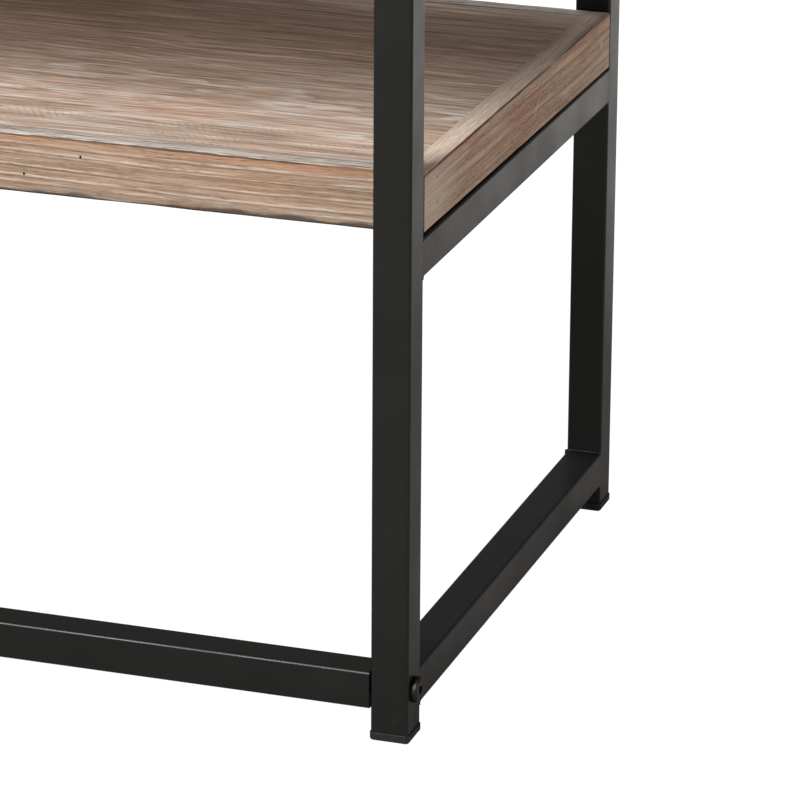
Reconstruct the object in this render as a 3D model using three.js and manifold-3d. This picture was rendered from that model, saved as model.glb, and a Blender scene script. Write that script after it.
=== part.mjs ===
// Entryway bench: two welded square-tube end frames carry a seat board and, part way down, a shelf board.
// One tube stretcher is bolted between the front legs near the floor.
// Millimetres, +Z up, front towards -Y, right towards +X. The origin is on the floor, under the middle of the bench.
import * as THREE from "three";
import { mergeVertices } from "three/addons/utils/BufferGeometryUtils.js";
import Module from "manifold-3d";

const wasm = await Module();
wasm.setup();

// Driving dimensions.
const LENGTH = 1016;
const DEPTH = 381;
const HEIGHT = 457;
const SHELF_TOP = 306;
const LOW_RAIL_BOTTOM = 15.6;
const STRETCHER_BOTTOM = 17.4;
const FIT_GAP = 0.3; // left wherever two pieces meet
const STRETCHER_GAP = 0.8; // at each end of the stretcher, which its bolts pull in
const SHADOW_GAP = 1.5; // a board's battens hold its lippings this far above the rails

const TUBE = 20.8;
const TUBE_WALL = 1.2;
const TUBE_CORNER = 1.6;

const LIPPING_HEIGHT = 32;
const LIPPING = 13;
const PANEL = 18;
const BATTEN_WIDTH = 48;

const FOOT_FLANGE = 4.5;
const FOOT_PROUD = 0.6;
const FOOT_EDGE = 0.8;
const FOOT_PLUG = 14;

const BOLT = { shank: 6, length: 36, head: 14, headHeight: 3.6, edge: 1.1, socket: 4.5, socketDepth: 2.4 };
const BOLT_HOLE = 7;
const END_PLUG_LENGTH = 18;
const TAPPED_BORE = 6.6;

const TAB = { reach: 25, width: 30, thickness: 3, hole: 5, inset: 60 };
const SCREW = { shank: 4.2, length: 16, head: 9, headHeight: 2.4, tip: 3 };
const PILOT_HOLE = 4.8;

const ROUND_SEGMENTS = 24;
const CORNER_SEGMENTS = 2;

// Sizes that follow from them.
const halfLength = LENGTH / 2;
const halfDepth = DEPTH / 2;
const boardHeight = LIPPING_HEIGHT + SHADOW_GAP; // from a board's top to its battens' undersides
const topRailTop = HEIGHT - boardHeight - FIT_GAP;
const shelfRailTop = SHELF_TOP - boardHeight - FIT_GAP;
const bore = TUBE - 2 * TUBE_WALL;
const legLine = halfDepth - TUBE / 2; // the legs' centre lines, in Y
const frameLine = halfLength - TUBE / 2; // the end frames' centre planes, in X
const railLength = DEPTH - 2 * TUBE - 2 * FIT_GAP;
const stretcherLength = LENGTH - 2 * TUBE - 2 * STRETCHER_GAP;
const stretcherHeight = STRETCHER_BOTTOM + TUBE / 2;

const paint = (color, roughness, metalness = 0) => new THREE.MeshStandardMaterial({ color, roughness, metalness });
const powderCoat = paint(0x1c1c1c, 0.45);
const blackPlastic = paint(0x161616, 0.6);
const blackOxide = paint(0x2a2a2a, 0.35, 0.8);
const zincPlate = paint(0xb4b6b8, 0.35, 0.9);
const limedFir = paint(0xb39a86, 0.7);
const barePine = paint(0xc9ab80, 0.8);

const bench = new THREE.Group();

// Names a geometry's mesh, places it and adds it to the bench.
function place(name, geometry, material, [x, y, z], [turnX, turnY, turnZ] = [0, 0, 0]) {
  const mesh = new THREE.Mesh(geometry, material);
  mesh.name = name;
  mesh.position.set(x, y, z);
  mesh.rotation.set(turnX, turnY, turnZ);
  bench.add(mesh);
}

// A three.js geometry as a manifold-3d solid, and back.
function toSolid(geometry) {
  const bare = new THREE.BufferGeometry();
  bare.setAttribute("position", geometry.getAttribute("position"));
  bare.setIndex(geometry.index);
  const merged = mergeVertices(bare, 1e-4);
  return new wasm.Manifold(
    new wasm.Mesh({
      numProp: 3,
      vertProperties: merged.getAttribute("position").array,
      triVerts: Uint32Array.from(merged.index.array),
    }),
  );
}

function toGeometry(solid) {
  const { vertProperties, triVerts } = solid.getMesh();
  const geometry = new THREE.BufferGeometry();
  geometry.setAttribute("position", new THREE.BufferAttribute(vertProperties, 3));
  geometry.setIndex(new THREE.BufferAttribute(triVerts, 1));
  geometry.computeVertexNormals();
  return geometry;
}

// Closed outlines, centred on the origin.
function roundedSquare(side, radius, target = new THREE.Shape()) {
  const flat = side / 2 - radius;
  target.absarc(flat, flat, radius, 0, Math.PI / 2);
  target.absarc(-flat, flat, radius, Math.PI / 2, Math.PI);
  target.absarc(-flat, -flat, radius, Math.PI, 1.5 * Math.PI);
  target.absarc(flat, -flat, radius, 1.5 * Math.PI, 2 * Math.PI);
  return target;
}

function polygon(points) {
  return new THREE.Shape(points.map(([x, y]) => new THREE.Vector2(x, y)));
}

function rectangle(width, depth) {
  const [x, y] = [width / 2, depth / 2];
  return polygon([
    [-x, -y],
    [x, -y],
    [x, y],
    [-x, y],
  ]);
}

function circle(diameter, x = 0, y = 0) {
  return new THREE.Path().absarc(x, y, diameter / 2, 0, 2 * Math.PI);
}

// An outline raised along Z from z = 0.
function raise(shape, height, options = {}) {
  const settings = { depth: height, bevelEnabled: false, curveSegments: CORNER_SEGMENTS, ...options };
  return new THREE.ExtrudeGeometry(shape, settings);
}

// An outline with round holes through it, which get more segments than a corner does.
function raiseDrilled(shape, height, holes) {
  shape.holes.push(...holes);
  return raise(shape, height, { curveSegments: ROUND_SEGMENTS / 2 });
}

// Square steel tube, open at both ends, along +Z from z = 0.
function squareTube(length) {
  const section = roundedSquare(TUBE, TUBE_CORNER);
  section.holes.push(roundedSquare(bore, TUBE_CORNER - TUBE_WALL, new THREE.Path()));
  return raise(section, length);
}

// A front leg also has the stretcher bolt's hole through both of its side walls.
function drilledLeg(length, holeHeight) {
  const drill = new THREE.CylinderGeometry(BOLT_HOLE / 2, BOLT_HOLE / 2, 2 * TUBE, ROUND_SEGMENTS);
  drill.rotateZ(Math.PI / 2).translate(0, 0, holeHeight);
  return toGeometry(toSolid(squareTube(length)).subtract(toSolid(drill)));
}

// Moulded foot: a flange under the leg's end, and a plug up inside the tube.
function footCap() {
  const flange = raise(roundedSquare(TUBE + 2 * (FOOT_PROUD - FOOT_EDGE), TUBE_CORNER), FOOT_FLANGE - 2 * FOOT_EDGE, {
    bevelEnabled: true,
    bevelThickness: FOOT_EDGE,
    bevelSize: FOOT_EDGE,
    bevelSegments: 2,
  }).translate(0, 0, FOOT_EDGE);
  const plug = raise(rectangle(bore - 2 * FIT_GAP, bore - 2 * FIT_GAP), FOOT_PLUG + 1).translate(0, 0, FOOT_FLANGE - 1);
  return toGeometry(toSolid(flange).add(toSolid(plug)));
}

function lathe(profile) {
  return new THREE.LatheGeometry(
    profile.map(([radius, height]) => new THREE.Vector2(radius, height)),
    ROUND_SEGMENTS,
  );
}

// Flat-headed bolt along +Y: its head's seat is at y = 0, and its shank runs to -Y.
function bolt({ shank, length, head, headHeight, edge, socket, socketDepth }) {
  const body = lathe([
    [0, -length],
    [shank / 2 - 0.5, -length],
    [shank / 2, -length + 0.5],
    [shank / 2, 0],
    [head / 2, 0],
    [head / 2, headHeight - edge],
    [head / 2 - edge, headHeight],
    [0, headHeight],
  ]);
  const acrossCorners = socket / Math.cos(Math.PI / 6);
  const recess = new THREE.CylinderGeometry(acrossCorners / 2, acrossCorners / 2, 2 * socketDepth, 6);
  recess.translate(0, headHeight, 0);
  return toGeometry(toSolid(body).subtract(toSolid(recess)));
}

// Pan-headed wood screw along +Y: its head's seat is at y = 0, and its point is up.
function woodScrew({ shank, length, head, headHeight, tip }) {
  return lathe([
    [0, -headHeight],
    [head / 2 - 1.2, -headHeight],
    [head / 2, -1],
    [head / 2, 0],
    [shank / 2, 0],
    [shank / 2, length - tip],
    [0, length],
  ]);
}

// A board of the given size whose top is at z = top: a panel, mitred lippings round it and battens under it.
function buildBoard(name, length, depth, top) {
  const underside = top - LIPPING_HEIGHT;
  const [x, y] = [length / 2, depth / 2];
  const [innerX, innerY] = [x - LIPPING, y - LIPPING];
  const half = FIT_GAP / 2; // each piece's share of a seam

  const longOutline = polygon([
    [-x + half, 0],
    [x - half, 0],
    [innerX - half, LIPPING],
    [-innerX + half, LIPPING],
  ]);
  const shortOutline = polygon([
    [0, -y + half],
    [0, y - half],
    [-LIPPING, innerY - half],
    [-LIPPING, -innerY + half],
  ]);
  const longLipping = raise(longOutline, LIPPING_HEIGHT);
  const shortLipping = raise(shortOutline, LIPPING_HEIGHT);
  place(`${name}_front_lipping`, longLipping, limedFir, [0, -y, underside]);
  place(`${name}_rear_lipping`, longLipping, limedFir, [0, y, underside], [0, 0, Math.PI]);
  place(`${name}_right_lipping`, shortLipping, limedFir, [x, 0, underside]);
  place(`${name}_left_lipping`, shortLipping, limedFir, [-x, 0, underside], [0, 0, Math.PI]);

  const panelSize = [2 * innerX - 2 * FIT_GAP, 2 * innerY - 2 * FIT_GAP];
  place(`${name}_panel`, raise(rectangle(...panelSize), PANEL), limedFir, [0, 0, top - PANEL]);

  const battenBottom = top - boardHeight;
  const battenHeight = boardHeight - PANEL - FIT_GAP;
  const battenX = innerX - FIT_GAP - BATTEN_WIDTH / 2;
  const battenOutline = () => rectangle(BATTEN_WIDTH, panelSize[1]);
  place(`${name}_middle_batten`, raise(battenOutline(), battenHeight), barePine, [0, 0, battenBottom]);
  for (const [side, sign] of [["left", -1], ["right", 1]]) {
    const pilotX = sign * (tabCentre - battenX);
    const pilots = [-tabY(depth), tabY(depth)].map((holeY) => circle(PILOT_HOLE, pilotX, holeY));
    const batten = raiseDrilled(battenOutline(), battenHeight, pilots);
    place(`${name}_${side}_batten`, batten, barePine, [sign * battenX, 0, battenBottom]);
  }
}

// Where a fixing tab and its screw stand, beside the rail's inner face.
const tabCentre = halfLength - TUBE - FIT_GAP - TAB.reach / 2;
const tabY = (boardDepth) => boardDepth / 2 - TAB.inset;

// Steel tabs welded to a rail's inner face, and the screws that go up through them into the board's batten.
function buildFixings(name, side, sign, boardDepth, railTop) {
  for (const [end, way] of [["front", -1], ["rear", 1]]) {
    const at = [sign * tabCentre, way * tabY(boardDepth)];
    const plate = raiseDrilled(rectangle(TAB.reach, TAB.width), TAB.thickness, [circle(TAB.hole)]);
    place(`${name}_${side}_${end}_tab`, plate, powderCoat, [...at, railTop - TAB.thickness]);
    const screwSeat = railTop - TAB.thickness - FIT_GAP;
    place(`${name}_${side}_${end}_screw`, woodScrew(SCREW), zincPlate, [...at, screwSeat], [Math.PI / 2, 0, 0]);
  }
}

// One end frame: two legs with their feet, and three rails between them.
function buildEndFrame(side, sign) {
  const x = sign * frameLine;
  const legBottom = FOOT_FLANGE + FIT_GAP;
  const legLength = topRailTop - legBottom;
  const frontLeg = drilledLeg(legLength, stretcherHeight - legBottom);
  place(`${side}_front_leg`, frontLeg, powderCoat, [x, -legLine, legBottom]);
  place(`${side}_rear_leg`, squareTube(legLength), powderCoat, [x, legLine, legBottom]);
  place(`${side}_front_foot`, footCap(), blackPlastic, [x, -legLine, 0]);
  place(`${side}_rear_foot`, footCap(), blackPlastic, [x, legLine, 0]);

  const railTops = { top_rail: topRailTop, shelf_rail: shelfRailTop, low_rail: LOW_RAIL_BOTTOM + TUBE };
  for (const [rail, railTop] of Object.entries(railTops)) {
    const start = [x, railLength / 2, railTop - TUBE / 2];
    place(`${side}_${rail}`, squareTube(railLength), powderCoat, start, [Math.PI / 2, 0, 0]);
  }
}

// The front stretcher, the tapped plugs in its ends and the bolts that go through the legs into them.
function buildStretcher() {
  const start = -stretcherLength / 2;
  const along = [0, Math.PI / 2, 0];
  place("front_stretcher", squareTube(stretcherLength), powderCoat, [start, -legLine, stretcherHeight], along);
  for (const [side, sign] of [["left", -1], ["right", 1]]) {
    const plugStart = sign < 0 ? start : -start - END_PLUG_LENGTH;
    const plugOutline = rectangle(bore - 2 * FIT_GAP, bore - 2 * FIT_GAP);
    const plug = raiseDrilled(plugOutline, END_PLUG_LENGTH, [circle(TAPPED_BORE)]);
    place(`${side}_stretcher_plug`, plug, zincPlate, [plugStart, -legLine, stretcherHeight], along);
    const headSeat = sign * (halfLength + FIT_GAP / 2);
    const outwards = [0, 0, (-sign * Math.PI) / 2];
    place(`${side}_stretcher_bolt`, bolt(BOLT), blackOxide, [headSeat, -legLine, stretcherHeight], outwards);
  }
}

const shelfDepth = DEPTH - 2 * TUBE - 2 * FIT_GAP;
buildBoard("seat", LENGTH, DEPTH, HEIGHT);
buildBoard("shelf", LENGTH, shelfDepth, SHELF_TOP);
for (const [side, sign] of [["left", -1], ["right", 1]]) {
  buildEndFrame(side, sign);
  buildFixings("seat", side, sign, DEPTH, topRailTop);
  buildFixings("shelf", side, sign, shelfDepth, shelfRailTop);
}
buildStretcher();

export default bench;
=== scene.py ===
"""An entryway bench: two black powder-coated tube frames carry a seat and a shelf of limed fir."""

import math
from functools import partial

import bmesh
import bpy
from mathutils import Matrix, Vector, noise


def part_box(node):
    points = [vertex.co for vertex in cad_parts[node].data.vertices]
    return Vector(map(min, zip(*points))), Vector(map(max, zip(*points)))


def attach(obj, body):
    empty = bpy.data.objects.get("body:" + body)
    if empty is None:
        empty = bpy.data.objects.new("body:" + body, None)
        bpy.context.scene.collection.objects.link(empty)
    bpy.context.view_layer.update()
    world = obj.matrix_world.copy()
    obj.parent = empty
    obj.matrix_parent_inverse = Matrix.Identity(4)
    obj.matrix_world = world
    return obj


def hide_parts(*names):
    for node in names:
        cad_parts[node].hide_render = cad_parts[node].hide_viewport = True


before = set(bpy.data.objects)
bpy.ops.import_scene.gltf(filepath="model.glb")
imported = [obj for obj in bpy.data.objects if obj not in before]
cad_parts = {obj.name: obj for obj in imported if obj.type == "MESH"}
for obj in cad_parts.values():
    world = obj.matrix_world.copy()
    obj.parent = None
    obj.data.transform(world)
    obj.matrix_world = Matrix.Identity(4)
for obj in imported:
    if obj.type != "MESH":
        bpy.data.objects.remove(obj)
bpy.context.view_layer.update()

MM = 0.001
SIDES = {"left": -1, "right": 1}
ENDS = {"front": -1, "rear": 1}
LIPPING_TURNS = {"front": 0, "right": 90, "rear": 180, "left": 270}  # degrees round from the front

TUBE_WALL = 1.2 * MM
TUBE_CORNER = 1.6 * MM
WELD_REACH = 1.3 * MM
WELD_ABOVE = 0.7 * MM  # a weld is kept lower on top of a rail, where a board lies close
BOLT_HOLE = 7 * MM
FOOT_GAP = 0.06 * MM  # between a foot's flange and its leg

RECESS_CORE = 0.5 * MM  # the screws' cross: half its core's width, how far its arms reach out, its depth
RECESS_ARM = 1.9 * MM
RECESS_DEPTH = 1.5 * MM

LIPPING_ARRIS = 1.3 * MM
SEAM_CHAMFER = 0.3 * MM
SEAM_GAP = 0.3 * MM
WORN_REACH = 3 * MM
WORN_TOP = 0.3 * MM
WORN_BOTTOM = 0.35 * MM
STATION = 4 * MM  # between the sections of a lipping, along its length
PLANED_OFF = 0.15 * MM  # an end lipping's lower edge isn't true: its middle hangs this much low,
PLANED_ASKEW = 1.05 * MM  # its rear end this much lower still, and its front end as much higher
NAIL = 1.4 * MM
NAIL_HOLE_DEPTH = 2.8 * MM
NAIL_SUNK = 2.3 * MM
NAIL_LENGTH = 18 * MM
NAIL_TALL = 1.4  # the gun leaves a hole that is taller than it is wide
LONG_NAILS = [(way * 304 + step, drop) for way in (-1, 0, 1) for step, drop in ((-16, 21.7), (16, 9.5))]
SHORT_NAILS = [(-148, 7), (-148, 20.5)]  # along a lipping and down from its top, in mm, as are the next two
FILLED_NAIL = (153, 15)
SPLIT = (27, 17)


# ---- Materials --------------------------------------------------------------------------------------

TIMES = {"kind": "Math", "operation": "MULTIPLY"}
PLUS = {"kind": "Math", "operation": "ADD"}
OVER = {"kind": "Math", "operation": "DIVIDE"}
TIMES_PLUS = {"kind": "Math", "operation": "MULTIPLY_ADD"}
UNSIGNED = {"kind": "Math", "operation": "ABSOLUTE"}
SINE = {"kind": "Math", "operation": "SINE"}
FADE = {"kind": "MapRange", "interpolation_type": "SMOOTHSTEP"}
BLEND = {"kind": "Mix", "data_type": "RGBA", "output": 2}
SHADE = {**BLEND, "blend_type": "MULTIPLY"}


def linear(hex_colour):
    """An sRGB hex colour as the linear RGBA that Blender takes."""
    channels = [int(hex_colour[i : i + 2], 16) / 255 for i in (1, 3, 5)]
    return (*(c / 12.92 if c <= 0.04045 else ((c + 0.055) / 1.055) ** 2.4 for c in channels), 1)


def add_node(tree, inputs, kind, output=0, **settings):
    """Adds a shader node with its settings, sets or links its inputs, and returns one of its outputs."""
    made = tree.nodes.new("ShaderNode" + kind)
    for setting, value in settings.items():
        setattr(made, setting, value)
    for key, value in inputs.items() if isinstance(inputs, dict) else enumerate(inputs):
        if isinstance(value, bpy.types.NodeSocket):
            tree.links.new(value, made.inputs[key])
        else:
            made.inputs[key].default_value = value
    return made.outputs[output]


def start_material(name):
    """A new material, what adds nodes to it, and its Object coordinates."""
    material = bpy.data.materials.new(name)
    material.use_nodes = True
    add = partial(add_node, material.node_tree)
    return material, add, add({}, kind="TexCoord", output="Object")


def end_material(material, add, colour, roughness, height, relief, **constants):
    """Links a material's colour, roughness and height, whose full range is relief deep, to its shader."""
    shader = material.node_tree.nodes["Principled BSDF"]
    bump = add({"Height": height, "Distance": relief, "Strength": 1.0}, kind="Bump")
    for socket, value in (("Base Color", colour), ("Roughness", roughness), ("Normal", bump)):
        material.node_tree.links.new(value, shader.inputs[socket])
    for socket, value in constants.items():
        shader.inputs[socket.replace("_", " ")].default_value = value
    return material


def powder_coat():
    """Satin polyester powder baked on steel: near-black, with a faint orange peel in its reflections."""
    material, add, place = start_material("satin_black_powder_coat")
    peel = add({"Vector": place, "Scale": 1 / (1.8 * MM), "Detail": 1.0}, kind="TexNoise")
    clouds = add({"Vector": place, "Scale": 1 / (45 * MM), "Detail": 3.0}, kind="TexNoise")
    grit = add({"Vector": place, "Scale": 1 / (11 * MM)}, kind="TexVoronoi")
    dust = add((grit, 0.05, 0.02, 0.0, 0.15), **FADE)
    colour = add({0: clouds, 6: linear("#0A0A0A"), 7: linear("#11110F")}, **BLEND)
    colour = add({0: dust, 6: colour, 7: linear("#77736E")}, **BLEND)
    roughness = add((clouds, 0.3, 0.7, 0.32, 0.42), **FADE)
    return end_material(material, add, colour, roughness, peel, 0.012 * MM, IOR=1.4)


def foot_plastic():
    """Injection-moulded polyethylene: duller than the coat, finely grained and a little scuffed."""
    material, add, place = start_material("moulded_black_polyethylene")
    grain = add({"Vector": place, "Scale": 1 / (0.6 * MM), "Detail": 2.0}, kind="TexNoise")
    scuffs = add({"Vector": place, "Scale": 1 / (5 * MM), "Detail": 4.0}, kind="TexNoise")
    scuffed = add((scuffs, 0.5, 0.75, 0.0, 0.6), **FADE)
    colour = add({0: scuffed, 6: linear("#0B0B0B"), 7: linear("#1D1C1B")}, **BLEND)
    roughness = add((grain, 0.3, 0.7, 0.45, 0.65), **FADE)
    return end_material(material, add, colour, roughness, grain, 0.05 * MM, IOR=1.5)


def steel(name, dark, light, roughness):
    """Finished steel: its tone and gloss drift over a few millimetres, and it has fine turning marks."""
    material, add, place = start_material(name)
    drift = add({"Vector": place, "Scale": 1 / (3 * MM), "Detail": 4.0}, kind="TexNoise")
    marks = add({"Vector": place, "Scale": 1 / (0.4 * MM), "Detail": 1.0}, kind="TexNoise")
    colour = add({0: drift, 6: linear(dark), 7: linear(light)}, **BLEND)
    gloss = add((drift, 0.3, 0.7, roughness, roughness + 0.15), **FADE)
    return end_material(material, add, colour, gloss, marks, 0.01 * MM, Metallic=1.0)


def wood_place(add, place, turn, half, top):
    """Millimetres along the grain, in from a board's outer face and down from its top."""
    settings = {
        "Vector": place,
        "Location": (0, half / MM, -top / MM),
        "Rotation": (0, 0, math.radians(-turn)),
        "Scale": (1 / MM,) * 3,
    }
    spot = add(settings, kind="Mapping")
    along = add((spot,), kind="SeparateXYZ")
    inward = along.node.outputs[1]
    down = add((along.node.outputs[2], -1.0), **TIMES)
    return spot, along, inward, down


def fibres(add, spot, long, across, seed, detail=2.0):
    """Noise drawn out along the grain, its features long by across in millimetres."""
    stretch = (1 / long, 1 / across, 1 / across)
    drawn = add((spot, stretch, (seed * 7.3,) * 3), kind="VectorMath", operation="MULTIPLY_ADD")
    return add({"Vector": drawn, "Scale": 1.0, "Detail": detail, "Roughness": 0.6}, kind="TexNoise")


def growth_rings(add, depth, spacing, unevenness):
    """The distance in millimetres past the nearest ring, and that ring's strength from 0 to 1."""
    settings = {"W": depth, "Scale": 1 / spacing, "Randomness": unevenness}
    ring = add(settings, kind="TexVoronoi", output="W", voronoi_dimensions="1D")
    strength = add((ring.node.outputs["Color"],), kind="SeparateColor")
    return add((ring, -1.0, depth), **TIMES_PLUS), strength


def waxed_top(add, inward, blotch, streak, tones):
    """The colour of a lipping's top: waxed nearly white and streaked, paler along its inner edge as a painted
    highlight, and darker at the joint beyond as painted shade.
    """
    streaked = add((streak, 0.47, 0.62, 0.0, tones["streaks"]), **FADE)
    crown = add({0: streaked, 6: tones["top"], 7: tones["dark"]}, **BLEND)
    crown = add({0: add((blotch, 0.5, 0.75, 0.0, 0.4), **FADE), 6: crown, 7: tones["light"]}, **BLEND)
    # Painted highlight: a paler band in the wax colour along the inner edge stands in for light caught there.
    crown = add({0: add((inward, 9.6, 11.6, 0.0, 0.5), **FADE), 6: crown, 7: tones["wax"]}, **BLEND)
    # Painted shade: a dark line next to the joint with the field stands in for the shade in that narrow gap.
    seam = add((inward, 12.0, 12.5, 0.0, tones["seam"]), **FADE)
    return add({0: seam, 6: crown, 7: tones["rubbed"]}, **BLEND)


def end_lipping_marks(add, colour, height, lip, along, inward, down, shiver, sway, tones):
    """One nail is under filler, which dried greyer than the wood, and a pale split runs down the edge. The
    face's front end is paled with the wax colour as painted light, and the top darkens near its outer
    arris towards the rear end as painted shade."""
    # Painted light: the face's front end is paled with the wax colour, as if more strongly lit there.
    front_painted_light = add((along, -95.0, -160.0, 0.0, 0.55), **FADE)
    front_painted_light = add((front_painted_light, add((lip, 0.0, 1.5), **FADE)), **TIMES)
    colour = add({0: front_painted_light, 6: colour, 7: tones["wax"]}, **BLEND)
    # Painted shade: the top darkens near its outer arris towards the rear end.
    rear_painted_shade = add((add((along, 20.0, 120.0, 0.0, 0.5), **FADE), add((inward, 5.5, 0.5), **FADE)), **TIMES)
    rear_painted_shade = add((rear_painted_shade, add((down, 1.2, 0.3), **FADE)), **TIMES)
    colour = add({0: rear_painted_shade, 6: colour, 7: tones["rubbed"]}, **BLEND)

    from_nail = add((along, -FILLED_NAIL[0]), **PLUS)
    from_nail = add((from_nail, add((down, -FILLED_NAIL[1]), **PLUS)), kind="CombineXYZ")
    reach = add((from_nail,), kind="VectorMath", output="Value", operation="LENGTH")
    filler = add((add((shiver, 1.6, reach), **TIMES_PLUS), 3.6, 2.2, 0.0, 0.85), **FADE)
    colour = add({0: filler, 6: colour, 7: linear("#B3ABA6")}, **BLEND)

    lean = 1.1
    beside = add((down, lean, add((along, -SPLIT[0] - lean * SPLIT[1]), **PLUS)), **TIMES_PLUS)
    beside = add((add((sway, 9.0, add((beside, -4.5), **PLUS)), **TIMES_PLUS),), **UNSIGNED)
    within = add((add((down, 8.0, 11.0), **FADE), add((down, 25.0, 21.0), **FADE)), **TIMES)
    split = add((add((beside, 1.0, 0.4, 0.0, 0.6), **FADE), within), **TIMES)
    colour = add({0: split, 6: colour, 7: tones["wax"]}, **BLEND)
    return colour, add((split, -0.8, height), **TIMES_PLUS)


def limed_edge(name, turn, half, top, seed, tones):
    """Brushed fir, stained brown, with white wax worked in: the wax stays in the opened soft wood, as pale
    lines along the grain, and it covers nearly all of the top. The arrises are darker and worn, and the
    lower one is painted nearly black where it turns under, as painted shade."""
    material, add, place = start_material(name)
    spot, along, inward, down = wood_place(add, place, turn, half, top)
    swing = fibres(add, spot, 260, 90, seed, 0.0)
    sway = fibres(add, spot, 60, 14, seed + 1, 1.0)
    shiver = fibres(add, spot, 9, 2.5, seed + 2, 1.0)
    fine = fibres(add, spot, 11, 0.45, seed + 4)
    depth = add((swing, tones["swing"], down), **TIMES_PLUS)
    depth = add((sway, 1.8, depth), **TIMES_PLUS)
    depth = add((shiver, 0.45, depth), **TIMES_PLUS)
    depth = add((depth, tones["shift"]), **PLUS)
    past, strength = growth_rings(add, depth, tones["rings"], 0.75)

    # Pale wax lines, each with its own width, with ragged sides that dim and break up along the grain.
    width = add((strength, 0.0, 1.0, 0.34, 0.72), **FADE)
    ragged = add((fine, 1.1, add((past, -0.55), **PLUS)), **TIMES_PLUS)
    line = add((add((add((ragged,), **UNSIGNED), width), **OVER), 1.35, 0.3), **FADE)
    patchy = add((fibres(add, spot, 60, 3, seed + 3), 0.38, 0.56, 0.1, 1.0), **FADE)
    full = add((strength, 0.0, 0.4, 0.35, tones["lime"]), **FADE)
    line = add((add((line, patchy), **TIMES), full), **TIMES)
    late_wood = add((add((past, 0.3, 0.8), **FADE), add((past, 2.4, 0.9), **FADE)), **TIMES)
    hair_past, hair_strength = growth_rings(add, depth, 1.3, 1.0)
    hair = add((add((add((hair_past,), **UNSIGNED), 0.34, 0.06), **FADE), hair_strength), **TIMES)

    bands = fibres(add, spot, 70, 2.2, seed + 5)
    blotch = fibres(add, spot, 90, 20, seed + 6)
    edge_blotch = fibres(add, spot, 28, 9, seed + 7)
    face = add({0: add((bands, 0.38, 0.62), **FADE), 6: tones["light"], 7: tones["mid"]}, **BLEND)
    face = add({0: add((blotch, 0.48, 0.68, 0.0, 0.65), **FADE), 6: face, 7: tones["warm"]}, **BLEND)
    face = add({0: add((late_wood, 0.5), **TIMES), 6: face, 7: tones["dark"]}, **BLEND)
    glow = add((blotch, 0.3, 0.6, 0.3, tones["glow"]), **FADE)
    glow = add((add((down, 7.0, 1.5), **FADE), glow), **TIMES)
    face = add({0: glow, 6: face, 7: tones["orange"]}, **BLEND)
    greying = add((edge_blotch, 0.45, 0.6, 0.1, 0.6), **FADE)
    greying = add((add((down, 24.0, 29.0), **FADE), greying), **TIMES)
    face = add({0: greying, 6: face, 7: tones["grey"]}, **BLEND)
    face = add({0: add((hair, tones["hair"]), **TIMES), 6: face, 7: tones["wax"]}, **BLEND)
    face = add({0: line, 6: face, 7: tones["wax"]}, **BLEND)

    # Pores and slivers that the brush tore out, as short dark flecks in rows.
    torn = fibres(add, spot, tones["sliver"], 0.7, seed + 9, 0.0)
    rows = add((bands, 0.35, 0.55), **FADE)
    flecks = add((add((torn, 0.6, 0.74, 0.0, tones["flecks"]), **FADE), rows), **TIMES)
    face = add({0: flecks, 6: face, 7: tones["rubbed"]}, **BLEND)

    # The lower arris is stained dark, to a ragged height, and painted nearly black where it turns under,
    # which is painted shade.
    stain = add((edge_blotch, 7.0, add((down, -29.6), **PLUS)), **TIMES_PLUS)
    stain = add((add((shiver, 1.5, stain), **TIMES_PLUS), 3.4, 5.4, 0.0, tones["stain"]), **FADE)
    face = add({0: stain, 6: face, 7: linear("#43342A")}, **BLEND)
    # Painted shade: the face is nearly black where it turns under.
    under = add((down, 30.7, 31.6, 0.0, tones["stain"]), **FADE)
    face = add({0: under, 6: face, 7: linear("#241D19")}, **BLEND)

    # A broken brown line marks the worn arris between the edge and the waxed top.
    streak = fibres(add, spot, 26, 0.6, seed + 8, 3.0)
    crown = waxed_top(add, inward, blotch, streak, tones)
    wobble = add((edge_blotch, 1.25, shiver), **TIMES_PLUS)
    lip = add((down, 0.9 * (tones["wobble"] - 1)), **PLUS)
    lip = add((wobble, -0.8 * tones["wobble"], lip), **TIMES_PLUS)
    lip = add((inward, -0.3, lip), **TIMES_PLUS)
    broken = add((bands, 0.4, 0.58, 0.3, 0.95), **FADE)
    rubbed = add((add((lip, -1.1, -0.6), **FADE), add((lip, 0.7, 0.0), **FADE)), **TIMES)
    face = add({0: add((rubbed, broken), **TIMES), 6: face, 7: tones["rubbed"]}, **BLEND)
    colour = add({0: add((lip, -0.5, -1.2), **FADE), 6: face, 7: crown}, **BLEND)
    colour = add({0: 1.0, 6: colour, 7: add((fine, 0.28, 0.72, tones["grain"], 1.16), **FADE)}, **SHADE)

    height = add((fine, 0.6, add((line, -0.5, add((flecks, -0.4), **TIMES)), **TIMES_PLUS)), **TIMES_PLUS)
    height = add((streak, -0.3, height), **TIMES_PLUS)
    if tones["filled"]:
        places = (lip, along, inward, down, shiver, sway)
        colour, height = end_lipping_marks(add, colour, height, *places, tones)
    roughness = add((blotch, 0.3, 0.7, 0.6, 0.78), **FADE)
    return end_material(material, add, colour, roughness, height, 0.22 * MM, Specular_IOR_Level=0.3)


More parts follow.
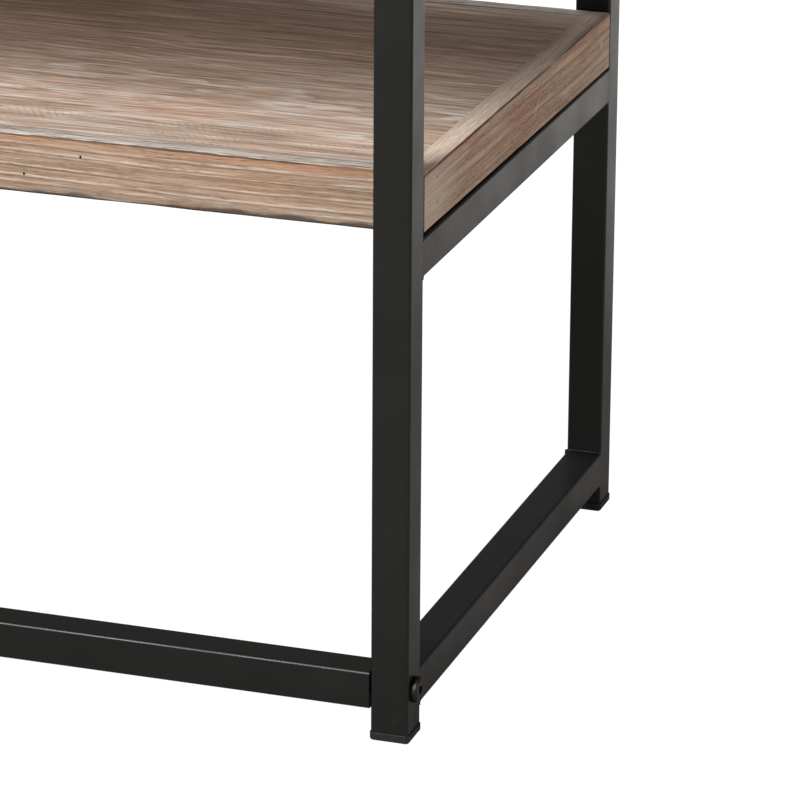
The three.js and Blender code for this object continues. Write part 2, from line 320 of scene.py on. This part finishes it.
def limed_face(name, half, top, seed, tones):
    """The same finish on a flat-sawn face: long arched figure, wiped wax, and the saw's chatter across
    the grain where the brush didn't reach."""
    material, add, place = start_material(name)
    spot, along, inward, down = wood_place(add, place, 0, half, top)
    sway = fibres(add, spot, 150, 45, seed + 1)
    shiver = fibres(add, spot, 14, 4, seed + 2)
    # The rings are cones round a heart that runs a little askew below the board.
    across = add((inward, tones["heart"]), **PLUS)
    below = add((along, 0.05, add((sway, 40.0, tones["below"]), **TIMES_PLUS)), **TIMES_PLUS)
    reach = add((across, below), kind="CombineXYZ")
    radius = add((reach,), kind="VectorMath", output="Value", operation="LENGTH")
    depth = add((shiver, 1.6, radius), **TIMES_PLUS)
    past, strength = growth_rings(add, depth, 6.0, 0.8)
    line = add((add((past,), **UNSIGNED), 1.5, 0.2), **FADE)
    line = add((line, add((strength, 0.1, 0.9, 0.05, 0.55), **FADE)), **TIMES)
    late_wood = add((add((past, 0.3, 1.2), **FADE), add((past, 3.4, 1.4), **FADE)), **TIMES)
    hair_past, hair_strength = growth_rings(add, depth, 3.6, 1.0)
    hair = add((add((add((hair_past,), **UNSIGNED), 1.0, 0.2), **FADE), hair_strength), **TIMES)
    hair = add((hair, add((fibres(add, spot, 40, 3, seed + 9), 0.4, 0.6), **FADE)), **TIMES)

    # The streaks are drawn coarser than the real fibres, to show at a low angle.
    fine = fibres(add, spot, 42, 1.9, seed + 3, 4.0)
    bands = fibres(add, spot, 110, 5, seed + 4)
    blotch = fibres(add, spot, 150, 45, seed + 5)
    pores = fibres(add, spot, 12, 1.3, seed + 6, 0.0)
    haze = fibres(add, spot, 60, 14, seed + 7)
    colour = add({0: add((bands, 0.36, 0.62), **FADE), 6: tones["light"], 7: tones["mid"]}, **BLEND)
    colour = add({0: add((blotch, 0.48, 0.7, 0.0, 0.5), **FADE), 6: colour, 7: tones["warm"]}, **BLEND)
    colour = add({0: add((late_wood, 0.28), **TIMES), 6: colour, 7: tones["dark"]}, **BLEND)
    colour = add({0: add((haze, 0.5, 0.72, 0.0, 0.35), **FADE), 6: colour, 7: tones["wax"]}, **BLEND)
    colour = add({0: add((hair, 0.7), **TIMES), 6: colour, 7: tones["wax"]}, **BLEND)
    colour = add({0: line, 6: colour, 7: tones["wax"]}, **BLEND)
    colour = add({0: add((pores, 0.68, 0.78, 0.0, 0.5), **FADE), 6: colour, 7: tones["dark"]}, **BLEND)

    # Chatter marks: faint slanted strokes about four millimetres apart, slightly bowed.
    slant = add((inward, 0.9, along), **TIMES_PLUS)
    bow = add((add((inward, inward), **TIMES), -0.006, slant), **TIMES_PLUS)
    beat = add((add((add((shiver, 7.0, bow), **TIMES_PLUS), 2 * math.pi / 4.4), **TIMES),), **SINE)
    where = add((fibres(add, spot, 60, 18, seed + 8, 2.0), 0.46, 0.64), **FADE)
    where = add((where, add((inward, 55.0, 25.0), **FADE)), **TIMES)
    chatter = add((add((beat, 0.2, 1.0), **FADE), where), **TIMES)
    colour = add({0: add((chatter, 0.3), **TIMES), 6: colour, 7: tones["dark"]}, **BLEND)
    colour = add({0: 1.0, 6: colour, 7: add((fine, 0.36, 0.64, 0.72, 1.26), **FADE)}, **SHADE)

    height = add((fine, 0.5, add((chatter, -0.4, add((line, -0.3), **TIMES)), **TIMES_PLUS)), **TIMES_PLUS)
    roughness = add((haze, 0.3, 0.7, 0.55, 0.72), **FADE)
    return end_material(material, add, colour, roughness, height, 0.18 * MM, Specular_IOR_Level=0.3)


def sawn_pine():
    """Bare pine straight off the saw: yellow, with darker rings and the blade's marks across them."""
    material, add, place = start_material("bare_sawn_pine")
    spot, along, inward, down = wood_place(add, place, 90, 0, 0)
    sway = fibres(add, spot, 120, 20, 1)
    past, strength = growth_rings(add, add((sway, 9.0, inward), **TIMES_PLUS), 4.0, 0.7)
    late_wood = add((add((past, -1.6, 0.4), **FADE), add((past, 0.7, 0.4), **FADE)), **TIMES)
    fine = fibres(add, spot, 10, 0.5, 2)
    colour = {0: add((late_wood, strength), **TIMES), 6: linear("#C9AC7C"), 7: linear("#A37A48")}
    colour = add({0: 1.0, 6: add(colour, **BLEND), 7: add((fine, 0.28, 0.72, 0.85, 1.1), **FADE)}, **SHADE)
    blade = add((add((add((sway, 8.0, along), **TIMES_PLUS), 2 * math.pi / 3.5), **TIMES),), **SINE)
    height = add((blade, 0.2, fine), **TIMES_PLUS)
    roughness = add((fine, 0.3, 0.7, 0.75, 0.9), **FADE)
    return end_material(material, add, colour, roughness, height, 0.15 * MM, Specular_IOR_Level=0.3)


def wood_tones(**tones):
    """A wood's tones: its colours made linear, and its other values as they are."""
    return {name: linear(value) if isinstance(value, str) else value for name, value in tones.items()}


LONG_EDGE_TONES = wood_tones(
    light="#A08671", mid="#8A705A", warm="#917259", dark="#67513D", orange="#A0714F", grey="#7C7269",
    rubbed="#453429", wax="#B9AA9D", top="#D6D0C9",
    rings=4.4, swing=8.0, shift=2.4, wobble=1.0, lime=0.85, glow=0.7, hair=0.35, flecks=0.35, sliver=5,
    stain=0.85, streaks=0.95, seam=0.85, grain=0.76, filled=False,
)
SHORT_EDGE_TONES = wood_tones(
    light="#BC9D86", mid="#A38167", warm="#A56F5C", dark="#7B5D47", orange="#A0765A", grey="#967C66",
    rubbed="#45342A", wax="#C9B7A5", top="#E0CEBE",
    rings=4.2, swing=8.0, shift=0.0, wobble=0.3, lime=0.14, glow=0.2, hair=0.3, flecks=0.5, sliver=3,
    stain=0.0, streaks=0.35, seam=0.0, grain=0.8, filled=True,
)
FACE_TONES = wood_tones(
    light="#C9B4A3", mid="#B39A87", warm="#B08C77", dark="#846955", wax="#DCD3CA",
    heart=-90.0, below=22.0,
)


# ---- Shapes -----------------------------------------------------------------------------------------


def block(mesh, low, high):
    """Adds a box with these corners."""
    corners = bmesh.ops.create_cube(mesh, size=1)["verts"]
    bmesh.ops.scale(mesh, vec=high - low, verts=corners)
    bmesh.ops.translate(mesh, vec=(low + high) / 2, verts=corners)


def edges_along(mesh, axis):
    """The edges that run along an axis."""
    index = "XYZ".index(axis)
    return [e for e in mesh.edges if abs((e.verts[1].co - e.verts[0].co).normalized()[index]) > 0.999]


def round_over(mesh, edges, radius, segments):
    bmesh.ops.bevel(
        mesh, geom=edges, offset=radius, offset_type="OFFSET", segments=segments, profile=0.5,
        affect="EDGES", material=-1,
    )


def slice_at(mesh, point, normal, keep_both=False):
    """Cuts the mesh along a plane. Unless both sides are kept, what lies beyond goes and the cut is
    closed."""
    bmesh.ops.bisect_plane(
        mesh, geom=mesh.verts[:] + mesh.edges[:] + mesh.faces[:], plane_co=point, plane_no=normal,
        clear_outer=not keep_both,
    )
    if not keep_both:
        bmesh.ops.holes_fill(mesh, edges=[e for e in mesh.edges if e.is_boundary], sides=0)


def extrude_loop(mesh, loop):
    """Extrudes a loop of edges in place, and returns the new loop and its vertices."""
    raised = bmesh.ops.extrude_edge_only(mesh, edges=loop)["geom"]
    vertices = [v for v in raised if isinstance(v, bmesh.types.BMVert)]
    return [e for e in raised if isinstance(e, bmesh.types.BMEdge)], vertices


def turn_out(mesh, profile, segments):
    """Spins a profile of (radius, height) points into a round shape about Z."""
    points = [bmesh.ops.create_vert(mesh, co=(radius, 0, height))["vert"][0] for radius, height in profile]
    lines = [mesh.edges.new(pair) for pair in zip(points, points[1:])]
    bmesh.ops.spin(
        mesh, geom=points + lines, cent=(0, 0, 0), axis=(0, 0, 1), angle=2 * math.pi, steps=segments,
        use_merge=True,
    )
    bmesh.ops.remove_doubles(mesh, verts=mesh.verts, dist=0.001 * MM)


def rims_at(mesh, radius, height):
    """The edges of a round shape's circle with this radius and height."""
    found = []
    for edge in mesh.edges:
        spots = [(math.hypot(v.co.x, v.co.y), v.co.z) for v in edge.verts]
        if all(abs(r - radius) < 0.01 * MM and abs(z - height) < 0.01 * MM for r, z in spots):
            found.append(edge)
    return found


def cut_away(piece, tool):
    """Cuts a tool's shape, given as a bmesh, out of a piece."""
    bmesh.ops.recalc_face_normals(tool, faces=tool.faces)
    cutter = bpy.data.objects.new("cutter", bpy.data.meshes.new("cutter"))
    tool.to_mesh(cutter.data)
    tool.free()
    bpy.context.scene.collection.objects.link(cutter)
    cut = piece.modifiers.new("cut", "BOOLEAN")
    cut.object = cutter
    cut.solver = "EXACT"
    evaluated = piece.evaluated_get(bpy.context.evaluated_depsgraph_get())
    cut_mesh = bpy.data.meshes.new_from_object(evaluated)
    piece.modifiers.remove(cut)
    piece.data = cut_mesh
    bpy.data.objects.remove(cutter)


def finish_piece(name, mesh, material, nodes=(), tool=None, crease=35, even=False):
    """Makes a bmesh a piece of the bench: it rides on the bench and is shown instead of the CAD nodes."""
    bmesh.ops.recalc_face_normals(mesh, faces=mesh.faces)
    data = bpy.data.meshes.new(name)
    mesh.to_mesh(data)
    mesh.free()
    piece = bpy.data.objects.new(name, data)
    bpy.context.scene.collection.objects.link(piece)
    if tool:
        cut_away(piece, tool)
    piece.data.materials.clear()
    piece.data.materials.append(material)
    piece.data.shade_smooth()
    piece.data.set_sharp_from_angle(angle=math.radians(crease))
    if even:
        piece.modifiers.new("even_shading", "WEIGHTED_NORMAL").keep_sharp = True
    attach(piece, "root")
    if nodes:
        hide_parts(*nodes)


# ---- Frames -----------------------------------------------------------------------------------------


def square_tube(node, axis, coat, tool=None):
    """Square steel tube with round corners, outside and in."""
    low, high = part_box(node)
    mesh = bmesh.new()
    block(mesh, low, high)
    round_over(mesh, edges_along(mesh, axis), TUBE_CORNER, 6)
    mesh.normal_update()
    ends = [f for f in mesh.faces if abs(f.normal["XYZ".index(axis)]) > 0.9]
    bmesh.ops.inset_region(mesh, faces=ends, thickness=TUBE_WALL, use_even_offset=True)
    bmesh.ops.delete(mesh, geom=ends, context="FACES_ONLY")
    bmesh.ops.bridge_loops(mesh, edges=[e for e in mesh.edges if e.is_boundary])
    finish_piece(node + "_tube", mesh, coat, [node], tool=tool, crease=40, even=True)


def bolt_drill(side):
    """The shape of the stretcher bolt's hole through a front leg."""
    low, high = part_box(f"{side}_front_leg")
    bolt_low, bolt_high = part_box(f"{side}_stretcher_bolt")
    middle = Vector(((low.x + high.x) / 2, (low.y + high.y) / 2, (bolt_low.z + bolt_high.z) / 2))
    drill = bmesh.new()
    bmesh.ops.create_cone(
        drill, cap_ends=True, segments=32, radius1=BOLT_HOLE / 2, radius2=BOLT_HOLE / 2,
        depth=2 * (high.x - low.x), matrix=Matrix.Translation(middle) @ Matrix.Rotation(math.pi / 2, 4, "Y"),
    )
    return drill


def weld_fillet(half):
    """The hollow fillet round a rail's end, on the leg's face at z = 0 and reaching along the rail to +Z."""
    mesh = bmesh.new()
    corners = bmesh.ops.create_grid(mesh, x_segments=1, y_segments=1, size=half)["verts"]
    bmesh.ops.bevel(
        mesh, geom=corners, offset=TUBE_CORNER, offset_type="OFFSET", segments=6, profile=0.5,
        affect="VERTICES", material=-1,
    )
    bmesh.ops.delete(mesh, geom=mesh.faces[:], context="FACES_ONLY")
    flats = [e for e in mesh.edges if e.calc_length() > half]
    bmesh.ops.subdivide_edges(mesh, edges=flats, cuts=11)

    arc = [step / 5 * math.pi / 2 for step in range(6)]
    sections = [(WELD_REACH * (1 - math.sin(angle)), WELD_REACH * (1 - math.cos(angle))) for angle in arc]
    sections.append((-TUBE_WALL / 2, WELD_REACH))
    grown = -TUBE_WALL / 2
    risen = 0
    bmesh.ops.scale(mesh, vec=((half + grown) / half,) * 2 + (1,), verts=mesh.verts)
    first = loop = mesh.edges[:]
    for grow, rise in sections:
        loop, vertices = extrude_loop(mesh, loop)
        stretch = (half + grow) / (half + grown)
        bmesh.ops.scale(mesh, vec=(stretch, stretch, 1), verts=vertices)
        bmesh.ops.translate(mesh, vec=(0, 0, rise - risen), verts=vertices)
        grown, risen = grow, rise
    bmesh.ops.bridge_loops(mesh, edges=first + loop)
    return mesh


def weld(side, rail, end, coat):
    """The weld round a rail's end. It is dressed flush on the frame's outer face, where it only fills the
    hollow beside the leg's round corner."""
    low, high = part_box(f"{side}_{rail}")
    leg_low, leg_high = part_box(f"{side}_{end}_leg")
    out, back = SIDES[side], ENDS[end]
    leg_face = leg_high.y if end == "front" else leg_low.y
    outer = high.x if side == "right" else low.x
    centre = Vector(((low.x + high.x) / 2, leg_face, (low.z + high.z) / 2))
    mesh = weld_fillet((high.z - low.z) / 2)
    to_rail = Matrix.Translation(centre) @ Matrix.Rotation(back * math.pi / 2, 4, "X")
    bmesh.ops.transform(mesh, matrix=to_rail, verts=mesh.verts)
    for vert in mesh.verts:
        lump = noise.noise(vert.co / (2.5 * MM)) * 0.25 * MM
        away = Vector((vert.co.x - centre.x, 0, vert.co.z - centre.z))
        if away.length > high.z - centre.z:
            vert.co += away.normalized() * lump
    slice_at(mesh, Vector((outer - out * 0.03 * MM, 0, 0)), Vector((out, 0, 0)))
    slice_at(mesh, Vector((0, 0, high.z + WELD_ABOVE)), Vector((0, 0, 1)))
    spans = (
        (outer - out * 2.6 * MM, outer - out * 0.04 * MM),
        (leg_face - back * 0.6 * MM, leg_face + back * (TUBE_CORNER + 0.5 * MM)),
        (low.z + 1.2 * MM, high.z - 1.2 * MM),
    )
    block(mesh, Vector([min(span) for span in spans]), Vector([max(span) for span in spans]))
    finish_piece(f"{side}_{rail}_{end}_weld", mesh, coat, crease=50)


def foot_cap(node, plastic):
    """A moulded foot: a flange with rounded edges, and the plug that holds it in the leg."""
    low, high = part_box(node)
    flange_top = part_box(node.replace("foot", "leg"))[0].z - FOOT_GAP
    mesh = bmesh.new()
    block(mesh, low, Vector((high.x, high.y, flange_top)))
    round_over(mesh, edges_along(mesh, "Z"), TUBE_CORNER + 0.6 * MM, 6)
    for way, radius in ((1, 0.25 * MM), (-1, 1.5 * MM)):
        mesh.normal_update()
        rims = [e for face in mesh.faces if way * face.normal.z > 0.9 for e in face.edges]
        round_over(mesh, rims, radius, 4)
    mesh.normal_update()
    top = max((f for f in mesh.faces if f.normal.z > 0.9), key=lambda f: f.calc_area())
    bmesh.ops.inset_region(mesh, faces=[top], thickness=1.1 * MM, use_even_offset=True)
    raised = bmesh.ops.extrude_face_region(mesh, geom=[top])["geom"]
    plug = [v for v in raised if isinstance(v, bmesh.types.BMVert)]
    bmesh.ops.translate(mesh, vec=(0, 0, high.z - flange_top), verts=plug)
    if top.is_valid:
        bmesh.ops.delete(mesh, geom=[top], context="FACES_ONLY")
    finish_piece(node + "_cap", mesh, plastic, [node], crease=50, even=True)


# ---- Fasteners --------------------------------------------------------------------------------------

# A stretcher bolt's radii, lengths and depths, in mm
BOLT = {
    "shank": 3, "point": 2.5, "head": 7, "thick": 3.6, "edge": 1.3, "rim": 3.5, "hexagon": 2.6, "socket": 2.4,
}


def stretcher_bolt(side, black_steel):
    """A low-headed socket bolt. It goes through the leg into the stretcher's end."""
    low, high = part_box(f"{side}_stretcher_bolt")
    sizes = {name: size * MM for name, size in BOLT.items()}
    length = high.x - low.x - sizes["thick"]
    mesh = bmesh.new()
    profile = [
        (0, -length),
        (sizes["point"], -length),
        (sizes["shank"], -length + 0.5 * MM),
        (sizes["shank"], 0),
        (sizes["head"], 0),
        (sizes["head"], sizes["thick"]),
        (sizes["rim"], sizes["thick"]),
    ]
    turn_out(mesh, profile, 48)
    round_over(mesh, rims_at(mesh, sizes["head"], sizes["thick"]), sizes["edge"], 6)
    round_over(mesh, rims_at(mesh, sizes["head"], 0), 0.3 * MM, 2)
    opening = [e for e in mesh.edges if e.is_boundary]

    above = Matrix.Translation((0, 0, sizes["thick"] - 0.25 * MM))
    corners = bmesh.ops.create_circle(mesh, segments=6, radius=sizes["hexagon"], matrix=above)["verts"]
    sides = list({edge for vert in corners for edge in vert.link_edges})
    bmesh.ops.subdivide_edges(mesh, edges=sides, cuts=7)
    hexagon = [e for e in mesh.edges if e.is_wire]
    bmesh.ops.bridge_loops(mesh, edges=opening + hexagon)
    floor_loop, vertices = extrude_loop(mesh, hexagon)
    bmesh.ops.translate(mesh, vec=(0, 0, -sizes["socket"]), verts=vertices)
    bottom = bmesh.ops.contextual_create(mesh, geom=floor_loop)["faces"]
    bmesh.ops.poke(mesh, faces=bottom, offset=-0.5 * MM)

    outwards = Matrix.Rotation(SIDES[side] * math.pi / 2, 4, "Y")
    seat = (high.x if side == "right" else low.x) - SIDES[side] * sizes["thick"]
    place = Matrix.Translation((seat, (low.y + high.y) / 2, (low.z + high.z) / 2))
    bmesh.ops.transform(mesh, matrix=place @ outwards, verts=mesh.verts)
    nodes = [f"{side}_stretcher_bolt"]
    finish_piece(f"{side}_socket_bolt", mesh, black_steel, nodes, crease=40)


def cross_recess(centre):
    """The shape of a screwdriver's cross: a square core, and an arm drawn out from each of its sides."""
    recess = bmesh.new()
    core = Vector((RECESS_CORE, RECESS_CORE, RECESS_DEPTH))
    block(recess, centre - core, centre + core)
    recess.normal_update()
    for side in [f for f in recess.faces if abs(f.normal.z) < 0.5]:
        way = side.normal.copy()
        raised = bmesh.ops.extrude_face_region(recess, geom=[side])["geom"]
        arm = [v for v in raised if isinstance(v, bmesh.types.BMVert)]
        bmesh.ops.translate(recess, vec=way * RECESS_ARM, verts=arm)
        if side.is_valid:
            bmesh.ops.delete(recess, geom=[side], context="FACES_ONLY")
    return recess


def wood_screw(node, zinc):
    """A pan-headed screw, driven up through a tab into a batten."""
    low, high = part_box(node)
    length = high.z - low.z
    mesh = bmesh.new()
    profile = [(0, 0), (3.3, 0), (4.5, 1.4), (4.5, 2.4), (2.1, 2.4), (2.1, 15.4)]
    profile = [(radius * MM, height * MM) for radius, height in profile] + [(0, length)]
    turn_out(mesh, profile, 32)
    round_over(mesh, rims_at(mesh, 3.3 * MM, 0) + rims_at(mesh, 4.5 * MM, 1.4 * MM), 0.7 * MM, 4)
    place = Matrix.Translation(((low.x + high.x) / 2, (low.y + high.y) / 2, low.z))
    bmesh.ops.transform(mesh, matrix=place, verts=mesh.verts)
    recess = cross_recess(Vector(((low.x + high.x) / 2, (low.y + high.y) / 2, low.z)))
    finish_piece(node + "_turned", mesh, zinc, [node], tool=recess, crease=40)


# ---- Boards -----------------------------------------------------------------------------------------


def box_turned(node, degrees):
    """A CAD node's box as it lies once the bench is turned back by these degrees."""
    back = Matrix.Rotation(math.radians(-degrees), 3, "Z")
    corners = [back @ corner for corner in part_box(node)]
    return tuple(Vector(map(pick, *corners)) for pick in (min, max))


def wear_arrises(mesh, turn, low, high, wear):
    """Rubs a lipping's outer arrises down unevenly, as brushing and handling do, by wear times the full
    depth."""
    for vert in mesh.verts:
        spot = turn @ vert.co
        worn = max(0, 0.35 + noise.noise(spot / (34 * MM)) + 0.45 * noise.noise(spot / (9 * MM)))
        for edge_z, way, deep in ((high.z, -1, WORN_TOP), (low.z, 1, WORN_BOTTOM)):
            reach = math.hypot(vert.co.y - low.y, vert.co.z - edge_z)
            vert.co += Vector((0, 1, way)) * max(0, 1 - reach / WORN_REACH) ** 2 * worn * deep * wear


def nail_shapes(nails, turn, low, high, radius, start, end, tall=1):
    """Bars at a lipping's nails, from start to end behind its outer face, round unless they are tall."""
    mesh = bmesh.new()
    for along, drop in nails:
        middle = Vector((along * MM, low.y + (start + end) / 2, high.z - drop * MM))
        lay_in = Matrix.Diagonal((1, 1, tall, 1)) @ Matrix.Rotation(math.pi / 2, 4, "X")
        bmesh.ops.create_cone(
            mesh, cap_ends=True, segments=12, radius1=radius, radius2=radius, depth=end - start,
            matrix=turn @ Matrix.Translation(middle) @ lay_in,
        )
    return mesh


def lipping(board, side, wood):
    """One side of a board's frame, mitred at its ends. It is made as if at the front, then turned. An end
    lipping's lower edge isn't planed true, so the gap under it narrows towards the rear."""
    node = f"{board}_{side}_lipping"
    degrees = LIPPING_TURNS[side]
    turn = Matrix.Rotation(math.radians(degrees), 4, "Z")
    low, high = box_turned(node, degrees)
    long_side = side in ENDS
    inner = high.y if long_side else high.y + SEAM_GAP
    mesh = bmesh.new()
    block(mesh, low, Vector((high.x, inner, high.z)))
    arrises = (
        (low.y, high.z, LIPPING_ARRIS, 6),
        (low.y, low.z, LIPPING_ARRIS, 5),
        (inner, high.z, SEAM_CHAMFER if long_side else 0.1 * MM, 2),
    )
    for y, z, radius, segments in arrises:
        corner = Vector((y, z))
        found = [e for e in edges_along(mesh, "X") if (e.verts[0].co.yz - corner).length < 0.001 * MM]
        round_over(mesh, found, radius, segments)
    for depth in (2.6 * MM, 4.2 * MM, 7 * MM):
        slice_at(mesh, Vector((0, 0, high.z - depth)), Vector((0, 0, 1)), keep_both=True)
        slice_at(mesh, Vector((0, 0, low.z + depth)), Vector((0, 0, 1)), keep_both=True)
        slice_at(mesh, Vector((0, low.y + depth, 0)), Vector((0, 1, 0)), keep_both=True)
    cuts = round((high.x - low.x) / STATION)
    bmesh.ops.subdivide_edges(mesh, edges=edges_along(mesh, "X"), cuts=cuts, use_grid_fill=True)
    for way in (-1, 1):
        slice_at(mesh, Vector((way * high.x, low.y, 0)), Vector((way, 1, 0)))
    wear_arrises(mesh, turn, low, high, 1 if long_side else 0.4)
    if not long_side:
        way = 1 if side == "right" else -1
        for vert in mesh.verts:
            share = (high.z - vert.co.z) / (high.z - low.z)
            vert.co.z -= share * (PLANED_OFF + PLANED_ASKEW * way * vert.co.x / high.x)
    bmesh.ops.transform(mesh, matrix=turn, verts=mesh.verts)
    nails = LONG_NAILS if long_side else SHORT_NAILS
    holes = nail_shapes(nails, turn, low, high, NAIL / 2, -MM, NAIL_HOLE_DEPTH, tall=NAIL_TALL)
    finish_piece(f"{board}_{side}_edge", mesh, wood, [node], tool=holes)


def brads(board, black_steel):
    """The pins that hold a board's lippings, sunk below the surface. They are joined as one piece."""
    pins = bmesh.new()
    for side, degrees in LIPPING_TURNS.items():
        low, high = box_turned(f"{board}_{side}_lipping", degrees)
        turn = Matrix.Rotation(math.radians(degrees), 4, "Z")
        nails = LONG_NAILS if side in ENDS else SHORT_NAILS + [FILLED_NAIL]
        more = nail_shapes(nails, turn, low, high, 0.42 * NAIL, NAIL_SUNK, NAIL_SUNK + NAIL_LENGTH)
        shapes = bpy.data.meshes.new("pins")
        more.to_mesh(shapes)
        more.free()
        pins.from_mesh(shapes)
        bpy.data.meshes.remove(shapes)
    finish_piece(f"{board}_brads", pins, black_steel)


def panel(board, wood):
    """A board's flat field, its long edges eased beside the lippings."""
    low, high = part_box(f"{board}_panel")
    mesh = bmesh.new()
    block(mesh, low, high)
    top_edges = [e for e in edges_along(mesh, "X") if e.verts[0].co.z > (low.z + high.z) / 2]
    round_over(mesh, top_edges, SEAM_CHAMFER, 2)
    finish_piece(f"{board}_field", mesh, wood, [f"{board}_panel"], even=True)


def batten(node, pine):
    """A bearer under a board, its corners planed off."""
    low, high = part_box(node)
    mesh = bmesh.new()
    block(mesh, low, high)
    round_over(mesh, edges_along(mesh, "Y"), 1.2 * MM, 2)
    finish_piece(node + "_planed", mesh, pine, [node], even=True)


# ---- Studio -----------------------------------------------------------------------------------------


def floor():
    """A pale paper floor, lit more strongly towards the back. To the camera it is burnt out to white, as a
    studio's is, and the bench still reflects the lit paper."""
    material, add, place = start_material("pale_floor_paper")
    tree = material.node_tree
    fibre = add({"Vector": place, "Scale": 1 / (400 * MM), "Detail": 2.0}, kind="TexNoise")
    shade = add({0: fibre, 6: linear("#8E8C8A"), 7: linear("#93918E")}, **BLEND)
    paper = add({"Color": shade}, kind="BsdfDiffuse")
    back = add((add((place,), kind="SeparateXYZ", output=1), 0.3, 1.25, 0.1, 0.85), **FADE)
    backlight = add({"Color": linear("#FFFAF4"), "Strength": back}, kind="Emission")
    lit = add((paper, backlight), kind="AddShader")
    glow = add({"Color": linear("#FFFFFF"), "Strength": 1.12}, kind="Emission")
    seen = add((add({}, kind="LightPath", output="Is Camera Ray"), 0.9), **TIMES)
    surface = add((seen, lit, glow), kind="MixShader")
    tree.links.new(surface, tree.nodes["Material Output"].inputs["Surface"])
    mesh = bmesh.new()
    bmesh.ops.create_grid(mesh, x_segments=1, y_segments=1, size=40)
    data = bpy.data.meshes.new("studio_floor")
    mesh.to_mesh(data)
    mesh.free()
    data.materials.append(material)
    sheet = bpy.data.objects.new("studio_floor", data)
    bpy.context.scene.collection.objects.link(sheet)


def softbox(name, place, target, width, height, watts):
    """A soft rectangular lamp, turned to its target."""
    light = bpy.data.lights.new(name, "AREA")
    light.shape = "RECTANGLE"
    light.size = width
    light.size_y = height
    light.energy = watts
    lamp = bpy.data.objects.new(name, light)
    lamp.location = place
    lamp.rotation_euler = (Vector(target) - Vector(place)).to_track_quat("-Z", "Y").to_euler()
    bpy.context.scene.collection.objects.link(lamp)


def studio():
    """Soft light from the front and the left, from overhead, and a little from low on the right, in a dim
    room with a white floor."""
    floor()
    softbox("key_softbox", (-0.7, -2.55, 2.22), (0.35, -0.17, 0.3), 1.2, 1.5, 156)
    softbox("overhead_softbox", (-0.6, 0.6, 3.2), (-0.4, 0.2, 0), 2.4, 2.4, 75)
    softbox("side_softbox", (1.7, -0.72, 0.66), (0.45, -0.08, 0.3), 1.0, 0.5, 6)
    world = bpy.data.worlds.new("studio")
    world.use_nodes = True
    add = partial(add_node, world.node_tree)
    seen = add({}, kind="LightPath", output="Is Camera Ray")
    colour = add({0: seen, 6: (0.155, 0.155, 0.155, 1), 7: (1, 1, 1, 1)}, **BLEND)
    world.node_tree.links.new(colour, world.node_tree.nodes["Background"].inputs["Color"])
    bpy.context.scene.world = world
    bpy.context.scene.view_settings.view_transform = "Standard"


def camera():
    """A long lens, close in on the bench's lower right-hand corner."""
    azimuth = math.radians(18.394)
    elevation = math.radians(19.729)
    roll = math.radians(0.354)
    data = bpy.data.cameras.new("camera")
    data.lens = 208.68
    data.sensor_width = 36
    turn = Matrix.Rotation(azimuth, 4, "Z") @ Matrix.Rotation(math.pi / 2 - elevation, 4, "X")
    viewer = bpy.data.objects.new("camera", data)
    place = Matrix.Translation((1.20619, -2.30627, 0.99126))
    viewer.matrix_world = place @ turn @ Matrix.Rotation(roll, 4, "Z")
    bpy.context.scene.collection.objects.link(viewer)
    bpy.context.scene.camera = viewer


# ---- The bench --------------------------------------------------------------------------------------

camera()
studio()

coat = powder_coat()
plastic = foot_plastic()
black_steel = steel("black_oxide_steel", "#2D2B2A", "#474441", 0.36)
zinc = steel("zinc_plated_steel", "#9FA2A3", "#C4C6C6", 0.28)
pine = sawn_pine()

for side in SIDES:
    for end in ENDS:
        drill = bolt_drill(side) if end == "front" else None
        square_tube(f"{side}_{end}_leg", "Z", coat, tool=drill)
        foot_cap(f"{side}_{end}_foot", plastic)
    for rail in ("top_rail", "shelf_rail", "low_rail"):
        square_tube(f"{side}_{rail}", "Y", coat)
        for end in ENDS:
            weld(side, rail, end, coat)
    stretcher_bolt(side, black_steel)
square_tube("front_stretcher", "X", coat)

for number, board in enumerate(("seat", "shelf")):
    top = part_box(f"{board}_panel")[1].z
    for turn_number, (side, degrees) in enumerate(LIPPING_TURNS.items()):
        half = -box_turned(f"{board}_{side}_lipping", degrees)[0].y
        tones = LONG_EDGE_TONES if side in ENDS else SHORT_EDGE_TONES
        seed = 40 * number + 10 * turn_number
        wood = limed_edge(f"limed_fir_{board}_{side}", degrees, half, top, seed, tones)
        lipping(board, side, wood)
    field_half = -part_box(f"{board}_panel")[0].y
    panel(board, limed_face(f"limed_fir_{board}_field", field_half, top, 5 + 40 * number, FACE_TONES))
    brads(board, black_steel)
    for place in ("left", "middle", "right"):
        batten(f"{board}_{place}_batten", pine)
    for side in SIDES:
        for end in ENDS:
            wood_screw(f"{board}_{side}_{end}_screw", zinc)
            for material_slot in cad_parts[f"{board}_{side}_{end}_tab"].material_slots:
                material_slot.material = coat
for side in SIDES:
    for material_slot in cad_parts[f"{side}_stretcher_plug"].material_slots:
        material_slot.material = zinc
